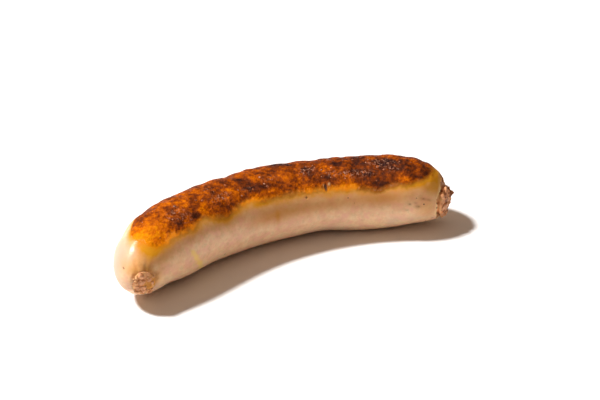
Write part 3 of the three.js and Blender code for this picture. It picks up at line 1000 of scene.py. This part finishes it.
@dataclass(frozen=True)
class Scatter:
    """One kind of small bit, strewn over a surface where a mask allows it. Sizes in mm."""

    name: str
    mask: Mask
    per_square_cm: float
    smallest: float
    largest: float
    flatness: float
    sink: float
    lumpiness: float
    seed: int
    stretch: tuple[float, float] = (0.7, 1.35)
    stretch_seed: int = 3
    spin_seed: int = 5

    def strew(self, ground: Thing, material: Material) -> Thing:
        """Strews the bits over an object.

        Args:
            ground: The object that they lie on.
            material: Their finish.

        Returns:
            The bits as one plain mesh object.
        """
        recipe = Recipe(f"strew_{self.name}")
        density = recipe.size("Bits per Square Metre", self.per_square_cm * 1e4)
        smallest = recipe.size("Smallest", self.smallest * MM)
        largest = recipe.size("Largest", self.largest * MM)
        flatness = recipe.size("Flatness", self.flatness)
        sink = recipe.size("Sink", self.sink * MM)
        lumpiness = recipe.size("Lumpiness", self.lumpiness * MM)
        seed = recipe.size("Seed", self.seed, "NodeSocketInt")
        spread = recipe.times(recipe.named(self.mask), density)
        inputs = {"Mesh": recipe.source.outputs["Geometry"], "Density": spread, "Seed": seed}
        points = recipe.add("GeometryNodeDistributePointsOnFaces", inputs, distribute_method="RANDOM")
        bit = recipe.add("GeometryNodeMeshIcoSphere", {"Radius": 0.5, "Subdivisions": 2})
        width = recipe.random(smallest, largest, seed)
        length = recipe.times(width, recipe.random(*self.stretch, self.stretch_seed))
        inputs = {0: length, 1: width, 2: recipe.times(width, flatness)}
        scale = recipe.add("ShaderNodeCombineXYZ", inputs)
        spin = recipe.random(0.0, 2.0 * math.pi, self.spin_seed)
        turn = recipe.add("ShaderNodeCombineXYZ", {2: spin})
        turned = recipe.add(
            "FunctionNodeRotateRotation",
            {"Rotation": points.outputs["Rotation"], "Rotate By": turn.outputs[0]},
            rotation_space="LOCAL",
        )
        inputs = {"Points": points.outputs["Points"], "Instance": bit.outputs["Mesh"]}
        inputs |= {"Rotation": turned.outputs[0], "Scale": scale.outputs[0]}
        placed = recipe.add("GeometryNodeInstanceOnPoints", inputs)
        down = recipe.add("ShaderNodeCombineXYZ", {2: recipe.times(sink, -1.0)})
        inputs = {"Instances": placed.outputs[0], "Translation": down.outputs[0], "Local Space": True}
        sunk = recipe.add("GeometryNodeTranslateInstances", inputs)
        real = recipe.add("GeometryNodeRealizeInstances", {"Geometry": sunk.outputs[0]})
        rough = recipe.spread(recipe.noise(self.smallest, 2.0), lumpiness)
        worn = recipe.dressed(recipe.push_out(real.outputs[0], rough), material)
        smoothed = recipe.add("GeometryNodeSetShadeSmooth", {"Geometry": worn})
        mesh = recipe.run(ground, smoothed.outputs[0])
        mesh.name = self.name
        return add_object(self.name, mesh)


@dataclass(frozen=True)
class CrustRelief:
    """Relief that stands on the casing: the crust's crags, blisters and the skin's soft unevenness."""

    crag_height: float = 0.55
    crag_size: float = 2.6
    blister_height: float = 0.32
    crag_onset: float = 3.0
    blister_size: float = 1.5
    blister_radius: float = 0.45
    skin_height: float = 0.22
    skin_size: float = 9.0
    clear_of_floor: tuple[float, float] = (0.4, 3.0)

    def raise_on(self, casing: Thing) -> None:
        """Raises the relief on the casing's outer face.

        Args:
            casing: The casing, with its attributes; its mesh is replaced.
        """
        recipe = Recipe("crust_relief")
        crag_height = recipe.size("Crag Height", self.crag_height * MM)
        blister_height = recipe.size("Blister Height", self.blister_height * MM)
        skin_height = recipe.size("Skin Height", self.skin_height * MM)
        height_above = recipe.add("ShaderNodeSeparateXYZ", {0: recipe.place}).outputs[2]
        low, high = (value * MM for value in self.clear_of_floor)
        free = recipe.times(recipe.smooth(height_above, low, high), recipe.named(Mask.OUTSIDE))
        browned = recipe.smooth(recipe.named(Mask.CRUST), 0.0, self.crag_onset)
        crag = recipe.times(recipe.swing(self.crag_size, 4.0, 0.6, crag_height), browned)
        bubble = recipe.minus(self.blister_radius, recipe.cells(self.blister_size))
        bubble = recipe.times(recipe.times(bubble, blister_height), recipe.named(Mask.BLISTER))
        skin = recipe.swing(self.skin_size, 2.0, 0.5, skin_height)
        total = recipe.times(recipe.plus(recipe.plus(crag, bubble), skin), free)
        moved = recipe.push_out(recipe.source.outputs["Geometry"], total)
        casing.data = recipe.run(casing, recipe.dressed(moved, casing.active_material))


@dataclass(frozen=True)
class Casing:
    """The skin: a sleeve open at both ends, folded at the gathered mouth and torn at the other."""

    rings: int = 410
    inner_rings: int = 26
    columns: int = 216
    crowding: float = 0.55
    rim_wall: float = 0.45
    rim_reach: float = 9.0
    crust_height: float = 0.32
    crag_along: float = 12.5
    crag_round: float = 0.55
    crags_from: tuple[float, float] = (35.0, 60.0)
    crags_to: tuple[float, float] = (150.0, 178.0)
    crags_start: tuple[float, float] = (8.0, 16.0)
    crags_end: tuple[float, float] = (148.0, 156.0)
    crag_sway: float = 1.4
    crag_sway_length: float = 37.0
    fold_depth: float = 0.3
    fold_reach: float = 7.0
    folds: Ripple = Ripple((9, 4, 14, 23), (0.45, 0.25, 0.2, 0.15), (0.4, 2.1, 5.0, 1.3))
    teeth_depth: float = 0.65
    teeth_reach: float = 4.0
    teeth: Ripple = Ripple((7, 3, 12, 31, 53), (0.4, 0.3, 0.2, 0.14, 0.1), (1.0, 3.3, 0.2, 2.0, 4.1))
    pit_depth: float = 0.28
    peel_height: float = 0.45
    gather_reach: float = 4.2
    gather_least: float = 0.22
    gather_side: Side = Side(50.0, 0.0, 1.0, 0.78)
    murk_least: float = 0.4
    murk_side: Side = Side(50.0, -0.6, 0.4, 0.5)
    pepper_least: float = 0.1
    pepper_open: tuple[float, float] = (132.0, 148.0)
    pepper_gathered: tuple[float, float] = (4.0, 16.0)
    pepper_gathered_amount: float = 1.5
    darkest: float = 1.3
    blistered: float = 0.06
    blistered_inside: float = 3.0
    closed_over: float = 0.9
    closing_reach: float = 5.0
    rim_curl: float = 0.45
    rim_curl_reach: float = 1.8
    rim_band: float = 1.0
    fillings: tuple[Spot, ...] = spots(
        (9.5, 104, 3.5, 16, 0.2), (114, -62, 17, 30, 0.6), (133, -60, 9, 30, 0.3),
        (157, 104, 4, 36, 1.1),
    )
    tears: tuple[Spot, ...] = spots((158.7, 108, 3, 26, 1.1), (158.7, -50, 3, 14, 1))

    def crags(self, station: Array, angle: Array) -> Array:
        """The coarse crags of the browned side, in mm, as the solid has them."""
        degrees = np.mod(np.degrees(angle), 360.0)
        round_part = smooth(degrees, *self.crags_from) - smooth(degrees, *self.crags_to)
        along_part = smooth(station, *self.crags_start) - smooth(station, *self.crags_end)
        sway = self.crag_sway * np.sin(2.0 * np.pi * station / self.crag_sway_length)
        long_wave = np.sin(2.0 * np.pi * station / self.crag_along + sway + 2.0 * angle)
        cross_wave = np.sin(angle / self.crag_round + 2.0 * sway)
        return self.crust_height * round_part * along_part * long_wave * cross_wave

    def relief(self, station: Array, angle: Array) -> Array:
        """Height of the outer face over the plain form, in mm."""
        near = part_left(station - FORM.gathered_mouth, self.fold_reach)
        folds = self.fold_depth * near * self.folds.at(angle)
        pits = self.pit_depth * sum_of(BROWNING.pits, station, angle)
        raised = self.peel_height * sum_of(BROWNING.peels, station, angle)
        torn = part_left(FORM.open_mouth - self.teeth_depth - station, self.rim_curl_reach)
        curl = self.rim_curl * torn**2
        return self.crags(station, angle) + folds - pits + raised + curl

    def masks(self, at: Array, angle: Array, depth: Array) -> dict[Mask, Array]:
        """Values of the casing's attributes.

        Args:
            at: Station of each point, in mm.
            angle: Angle of each point, in radians.
            depth: Depth of each point under the skin, in mm.

        Returns:
            One array for each attribute, in the points' order.
        """
        crust = BROWNING.crust(at, angle)
        scorch = sum_of((*BROWNING.scorches, *BROWNING.hidden_spots()), at, angle)
        reach = self.gather_reach * (self.gather_least + self.gather_side.at(angle))
        murk = self.murk_least + self.murk_side.at(angle)
        near = 1.0 - smooth(at, *self.pepper_gathered)
        pepper = self.pepper_least + smooth(at, *self.pepper_open) + self.pepper_gathered_amount * near
        blister = sum_of(BROWNING.blisters, at, angle) + self.blistered * (crust > self.blistered_inside)
        outside = (depth <= 0.0).astype(float)
        return {
            Mask.CRUST: crust,
            Mask.SCORCH: np.clip(scorch, 0.0, self.darkest),
            Mask.AMBER: BROWNING.warmth(at, angle),
            Mask.BLISTER: np.clip(blister, 0.0, 1.0),
            Mask.STAIN: sum_of(BROWNING.pits, at, angle),
            Mask.VEIN: BROWNING.vein(at, angle),
            Mask.BLUSH: sum_of(BROWNING.blushes, at, angle),
            Mask.PEEL: sum_of(BROWNING.peels, at, angle),
            Mask.GILD: np.clip(sum_of(BROWNING.gilds, at, angle), -1.0, 1.0),
            Mask.TOAST_AND_SHADE: np.clip(sum_of(BROWNING.toast_and_shade_spots, at, angle), 0.0, 1.0),
            Mask.TAN: np.clip(sum_of(BROWNING.tan_and_shade_spots, at, angle), 0.0, 1.0),
            Mask.PAINTED_LIGHT: np.clip(sum_of(BROWNING.painted_light_spots, at, angle), 0.0, 1.0),
            Mask.GATHER: murk * part_left(at - FORM.gathered_mouth, reach),
            Mask.RIM: part_left(FORM.open_mouth - at, self.teeth_depth + self.rim_band),
            Mask.OUTSIDE: outside,
            Mask.PEPPER: pepper * outside * (crust < 0.0),
        }

    def make(self) -> Thing:
        """Builds the casing as one closed mesh with its attributes.

        Returns:
            The casing, not yet moved over the origin.
        """
        outer = crowded(self.rings, self.crowding)
        inner = crowded(self.inner_rings, self.crowding)[::-1]
        open_lip = np.full(2, FORM.open_mouth)
        gathered_lip = np.full(2, FORM.gathered_mouth)
        station = np.concatenate([outer, open_lip, inner, gathered_lip])
        thicker = smooth(to_nearest_mouth(inner), 0.0, self.rim_reach)
        wall = self.rim_wall + (FORM.wall - self.rim_wall) * thicker
        thirds = np.array([1.0, 2.0]) / 3.0
        depth = np.concatenate([0.0 * outer, self.rim_wall * thirds, wall, self.rim_wall * thirds[::-1]])
        row, depth, angle = ring_grids(self.columns, station, depth)
        torn = part_left(FORM.open_mouth - row, self.teeth_reach) ** 2
        closing = part_left(row - FORM.gathered_mouth, self.closing_reach) ** 2
        at = row - torn * self.teeth_depth * (1.0 - self.teeth.at(angle))
        at = at - closing * self.closed_over * FORM.far_side.at(angle) - sum_of(self.tears, row, angle)
        place, radius = FORM.under_skin(at, depth)
        height = np.where(depth <= 0.0, self.relief(at, angle), 0.0)
        swell = FORM.swell(at, angle) + sum_of(self.fillings, at, angle)
        points = FORM.points(place, angle, radius + swell + height)
        points[..., 2] = np.maximum(points[..., 2], depth)
        faces = grid_faces(*row.shape, closed=True)
        return add_mesh(Node.CASING.value, points, faces, self.masks(at, angle, depth))


@dataclass(frozen=True)
class Dome:
    """Where the filling bulges out of a mouth: its tip's station, bluntness, flare and rings."""

    tip: float
    power: float
    flare: float
    rings: int


@dataclass(frozen=True)
class Forcemeat:
    """The filling: a core that runs through the casing and bulges out of both mouths."""

    columns: int = 132
    body_rings: int = 70
    gathered: Dome = Dome(0.4, 2.4, 0.1, 26)
    drawn_in: float = 0.2
    tatter: Ripple = Ripple((9, 14, 5), (0.4, 0.35, 0.25), (0.3, 2.2, 4.0))
    open_end: Dome = Dome(161.1, 4.0, 0.08, 44)
    rim_depth: float = 0.3
    rim_reach: float = 5.0
    crowding: float = 0.75
    closed_reach: float = 3.0
    bare_open: tuple[float, float] = (0.8, 2.0)
    bare_gathered: float = 0.9
    seared_top: Side = Side(90.0, 0.1, 0.9, 0.6)
    seared_top_from: tuple[float, float] = (150.0, 156.0)
    # Painted shade on the underside of the bulge at the open end.
    shaded_foot: Side = Side(-90.0, 0.25, 0.8, 0.8)
    shaded_foot_from: tuple[float, float] = (157.0, 159.0)
    # Painted shade in the holes just past the open mouth, heavier towards the bottom.
    hole_shade_side: Side = Side(-90.0, -0.5, 0.3, 1.4)
    hole_out: float = 0.4
    hole_width: float = 0.9
    hole_edge: float = 0.5
    gathered_ends: tuple[float, float] = (4.0, 8.0)
    gathered_seared: tuple[Side, ...] = (Side(65.0, 0.3, 0.95, 0.4), Side(-110.0, 0.5, 0.95, 0.7))
    gathered_golden: Side = Side(-10.0, 0.3, 0.9)
    lump_height: float = 0.8
    lump_size: float = 2.2

    def rows(self, neck: tuple[float, float], dome: Dome) -> tuple[Array, Array]:
        """Stations and radii of a dome's rings, from the neck to the tip."""
        rise = np.sin(np.arange(1, dome.rings + 1) / dome.rings * np.pi / 2.0)
        bulge = 1.0 + dome.flare * np.sin(np.pi * rise)
        radius = neck[1] * bulge * np.sqrt(np.clip(1.0 - rise**dome.power, 0.0, 1.0))
        return neck[0] + (dome.tip - neck[0]) * rise, np.maximum(radius, 0.01)

    def make(self) -> Thing:
        """Builds the core as one closed mesh with its attributes.

        Returns:
            The forcemeat, not yet moved over the origin.
        """
        body = crowded(self.body_rings, self.crowding)
        inner_depth = FORM.wall + FORM.gap
        deeper = smooth(to_nearest_mouth(body), 0.0, self.rim_reach)
        depth = self.rim_depth + (inner_depth - self.rim_depth) * deeper
        station, radius = FORM.under_skin(body, depth)
        first = self.rows((station[0], radius[0]), self.gathered)
        last = self.rows((station[-1], radius[-1]), self.open_end)
        station = np.concatenate([first[0][::-1], station, last[0]])
        radius = np.concatenate([first[1][::-1], radius, last[1]])
        station, radius, angle = ring_grids(self.columns, station, radius)
        closed = 1.0 - smooth(station - FORM.gathered_mouth, 0.0, self.closed_reach)
        radius = radius * (1.0 - self.drawn_in * closed * FORM.far_side.at(angle))
        points = FORM.points(station, angle, radius + FORM.swell(station, angle))
        points[..., 2] = np.maximum(points[..., 2], inner_depth)
        faces = grid_faces(*station.shape, closed=False)
        return add_mesh(Node.FORCEMEAT.value, points, faces, self.masks(station, angle))

    def masks(self, station: Array, angle: Array) -> dict[Mask, Array]:
        """Values of the forcemeat's attributes.

        Args:
            station: Station of each point, in mm.
            angle: Angle of each point, in radians.

        Returns:
            One array for each attribute, in the points' order.
        """
        past = station - FORM.open_mouth
        bare = smooth(past, *self.bare_open)
        bare = bare + 1.0 - smooth(station - FORM.gathered_mouth, -self.bare_gathered, 0.0)
        grilled_and_shade = self.seared_top.at(angle) * smooth(station, *self.seared_top_from)
        # Painted shade under the open end's bulge.
        grilled_and_shade = grilled_and_shade + self.shaded_foot.at(angle) * smooth(station, *self.shaded_foot_from)
        # Painted shade: dark holes in a ragged ring just past the open mouth.
        shaded_holes = np.exp(-(((past - self.hole_out) / self.hole_width) ** 2))
        shaded_holes = shaded_holes * smooth(self.tatter.at(angle), 0.0, self.hole_edge)
        grilled_and_shade = grilled_and_shade + shaded_holes * self.hole_shade_side.at(angle)
        gathered = 1.0 - smooth(station, *self.gathered_ends)
        grilled_and_shade = grilled_and_shade + gathered * sum(side.at(angle) for side in self.gathered_seared)
        golden = gathered * self.gathered_golden.at(angle)
        return {Mask.BARE: bare, Mask.GRILLED_AND_SHADE: grilled_and_shade, Mask.GILD: golden}

    def roughen(self, core: Thing) -> None:
        """Raises the minced lumps on the two bulges.

        Args:
            core: The forcemeat, whose mesh is replaced.
        """
        recipe = Recipe("mince_relief")
        height = recipe.size("Lump Height", self.lump_height * MM)
        lump = recipe.times(recipe.swing(self.lump_size, 4.0, 0.65, height), recipe.named(Mask.BARE))
        moved = recipe.push_out(recipe.source.outputs["Geometry"], lump)
        core.data = recipe.run(core, recipe.dressed(moved, core.active_material))


@dataclass(frozen=True)
class Shred:
    """The flat shred of meat that sticks out high on the open end. Sizes in mm."""

    length: float = 3.0
    half_width: float = 3.0
    thinness: float = 0.16
    sides: int = 14
    rings: int = 12
    sunk: float = 1.0
    angle: float = 120.0
    out: float = 4.2
    droop: float = -0.9
    taper: float = 0.9
    least: float = 0.02
    twist: float = 4.0
    # How much of the dark colour the shred gets; that colour is both sear and painted shade.
    seared_and_shade: float = 1.5
    ruffle: Ripple = Ripple((3, 5, 8), (0.2, 0.15, 0.1), (0.4, 2.0, 1.1))

    def make(self) -> Thing:
        """Builds the shred.

        Returns:
            The shred, not yet moved over the origin.
        """
        shape = (self.rings, self.sides)
        part = np.broadcast_to(np.linspace(0.0, 1.0, self.rings)[:, None], shape)
        turn = np.broadcast_to(np.linspace(0.0, 2.0 * np.pi, self.sides, endpoint=False), shape)
        station = FORM.axis_length - self.sunk + self.length * part
        angle = np.full_like(part, math.radians(self.angle))
        middle = FORM.points(station, angle, np.full_like(part, self.out))
        axis = FORM.points(station, angle, 0.0 * part)
        beside = FORM.points(station, 0.0 * angle, np.ones_like(part)) - axis
        uneven = 1.0 + self.ruffle.at(turn + self.twist * part)
        width = self.half_width * (1.0 - part) ** self.taper * uneven + self.least
        points = middle + beside * (self.thinness * width * np.cos(turn))[..., None]
        points[..., 2] += width * np.sin(turn) - self.droop * part**2
        faces = grid_faces(*shape, closed=False)
        masks = {Mask.GRILLED_AND_SHADE: np.full(shape, self.seared_and_shade), Mask.GILD: np.zeros(shape)}
        return add_mesh("meat_shred", points, faces, masks)


@dataclass(frozen=True)
class Studio:
    """The pale floor, the light and the camera. Lengths in metres, angles in degrees."""

    floor_size: float = 16.0
    floor_colour: tuple[float, float, float, float] = (0.86, 0.86, 0.86, 1.0)
    floor_roughness: float = 0.9
    floor_shine: float = 0.1
    azimuth: float = -28.3
    elevation: float = 30.3
    distance: float = 0.637
    focal_length: float = 85.0
    sensor: float = 36.0
    nearest: float = 0.01
    farthest: float = 50.0
    look_at: tuple[float, float] = (0.02658, 0.02899)
    light_from: tuple[float, float, float] = (-0.70, 0.105, 1.0)
    light_distance: float = 6.0
    light_size: float = 0.9
    light_power: float = 620.0
    room: tuple[float, float, float] = (0.30, 0.214, 0.157)
    room_low: float = 0.02
    room_high: float = 1.47
    room_rise: tuple[float, float] = (0.3, 0.85)

    def turned(self, x: float, y: float, z: float) -> Vector:
        """A direction given in the picture's frame, turned into the row's."""
        turn = math.radians(self.azimuth)
        return Matrix.Rotation(turn, 3, "Z") @ Vector((x, y, z))

    def add_floor(self) -> None:
        """Adds the plain pale floor, which isn't part of the object."""
        half = self.floor_size / 2.0
        mesh = bpy.data.meshes.new("floor")
        corners = [(-half, -half, 0.0), (half, -half, 0.0), (half, half, 0.0), (-half, half, 0.0)]
        mesh.from_pydata(corners, [], [(0, 1, 2, 3)])
        floor = add_object("floor", mesh)
        pen = Shader("pale_floor")
        pen.set(Base_Color=self.floor_colour, Roughness=self.floor_roughness)
        pen.set(Specular_IOR_Level=self.floor_shine)
        mesh.materials.append(pen.material)

    def add_light(self) -> None:
        """Adds the key light and the soft light of the room."""
        light = bpy.data.lights.new("key", "AREA")
        light.shape = "DISK"
        light.size = self.light_size
        light.energy = self.light_power
        lamp = add_object("key", light)
        away = self.turned(*self.light_from).normalized()
        lamp.location = away * self.light_distance
        lamp.rotation_euler = away.to_track_quat("Z", "Y").to_euler()
        world = bpy.data.worlds.new("room")
        world.use_nodes = True
        background = world.node_tree.nodes["Background"]
        background.inputs["Color"].default_value = (*self.room, 1.0)
        pen = Nodes(world.node_tree, "ShaderNodeTexCoord", "Generated")
        height = pen.add("ShaderNodeSeparateXYZ", {0: pen.place}).outputs[2]
        strength = pen.smooth(height, *self.room_rise, self.room_low, self.room_high)
        pen.feed(background.inputs["Strength"], strength)
        bpy.context.scene.world = world

    def add_camera(self) -> None:
        """Adds the camera at the picture's angle."""
        camera = bpy.data.cameras.new("camera")
        camera.lens = self.focal_length
        camera.sensor_width = self.sensor
        camera.clip_start = self.nearest
        camera.clip_end = self.farthest
        stand = add_object("camera", camera)
        tilt = math.radians(self.elevation)
        back = self.turned(0.0, -math.cos(tilt), math.sin(tilt))
        stand.location = Vector((*self.look_at, 0.0)) + back * self.distance
        stand.rotation_euler = back.to_track_quat("Z", "Y").to_euler()
        bpy.context.scene.camera = stand
        bpy.context.scene.view_settings.view_transform = "Standard"

    def build(self) -> None:
        """Adds the floor, the light and the camera."""
        self.add_floor()
        self.add_light()
        self.add_camera()


def origin_shift(casing: Thing) -> Vector:
    """How far the pieces move so that the casing lies where its solid does.

    Args:
        casing: The casing as built, with its axis starting at the origin.

    Returns:
        The move, in metres.
    """
    low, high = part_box(Node.CASING.value)
    corners = np.array([vertex.co for vertex in casing.data.vertices])
    middle = (corners.min(axis=0) + corners.max(axis=0)) / 2.0
    return Vector(((low[0] + high[0]) / 2.0 - middle[0], (low[1] + high[1]) / 2.0 - middle[1], 0.0))


def wear(thing: Thing, material: Material) -> None:
    """Gives an object one material."""
    thing.data.materials.clear()
    thing.data.materials.append(material)


def place_piece(thing: Thing) -> None:
    """Rides a piece on the body and reports it.

    Args:
        thing: The finished piece.
    """
    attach(thing, BODY)
    LOG.info("%s: %d faces", thing.name, len(thing.data.polygons))


BITS_ON_CASING: tuple[tuple[Scatter, Crumb], ...] = (
    (
        Scatter("pepper_specks", Mask.PEPPER, 0.5, 0.3, 0.75, 0.5, 0.02, 0.2, 11),
        Crumb("pepper", (84, 50, 28), (124, 80, 46), 0.6),
    ),
    (
        Scatter("crust_flakes", Mask.SCORCH, 3.0, 0.5, 1.5, 0.22, 0.03, 0.3, 23),
        Crumb("crust_flake", (70, 30, 14), (168, 84, 26), 0.42, 0.2),
    ),
    # Fat beads: their pale colour paints glints on the blistered crust (painted highlights).
    (
        Scatter("fat_glint_beads", Mask.BLISTER, 9.0, 0.35, 0.85, 0.28, 0.06, 0.3, 37),
        Crumb("fat_glint_bead", (134, 80, 56), (186, 130, 100), 0.42, 0.1),
    ),
)
BITS_ON_MEAT: tuple[tuple[Scatter, Crumb], ...] = (
    (
        Scatter("lean_grains", Mask.BARE, 26.0, 1.2, 2.6, 0.6, 0.5, 0.8, 41),
        Crumb("lean_grain", (164, 98, 54), (240, 174, 122), 0.55, 0.04),
    ),
    (
        Scatter("fat_grains", Mask.BARE, 14.0, 0.6, 1.2, 0.7, 0.25, 0.4, 59),
        Crumb("fat_grain", (186, 118, 68), (238, 184, 126), 0.5, 0.08),
    ),
)


def main() -> None:
    """Builds the studio, the casing, the filling and the small bits, and reports each piece."""
    logging.basicConfig(level=logging.INFO, format="%(name)s %(message)s")
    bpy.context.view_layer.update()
    Studio().build()
    casing = Casing().make()
    shift = origin_shift(casing)
    core = Forcemeat().make()
    shred = Shred().make()
    for thing in (casing, core, shred):
        thing.data.transform(Matrix.Translation(shift))
    meat = CookedMeat("cooked_meat").make()
    wear(casing, BrownedSkin().make())
    wear(core, meat)
    wear(shred, meat)
    bits = [(kind.strew(casing, crumb.make()), Node.CASING) for kind, crumb in BITS_ON_CASING]
    bits += [(kind.strew(core, crumb.make()), Node.FORCEMEAT) for kind, crumb in BITS_ON_MEAT]
    CrustRelief().raise_on(casing)
    Forcemeat().roughen(core)
    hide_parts(Node.CASING.value)
    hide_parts(Node.FORCEMEAT.value)
    for thing, slot in [(casing, Node.CASING), (core, Node.FORCEMEAT), (shred, Node.FORCEMEAT), *bits]:
        place_piece(thing)


if __name__ == "__main__":
    main()
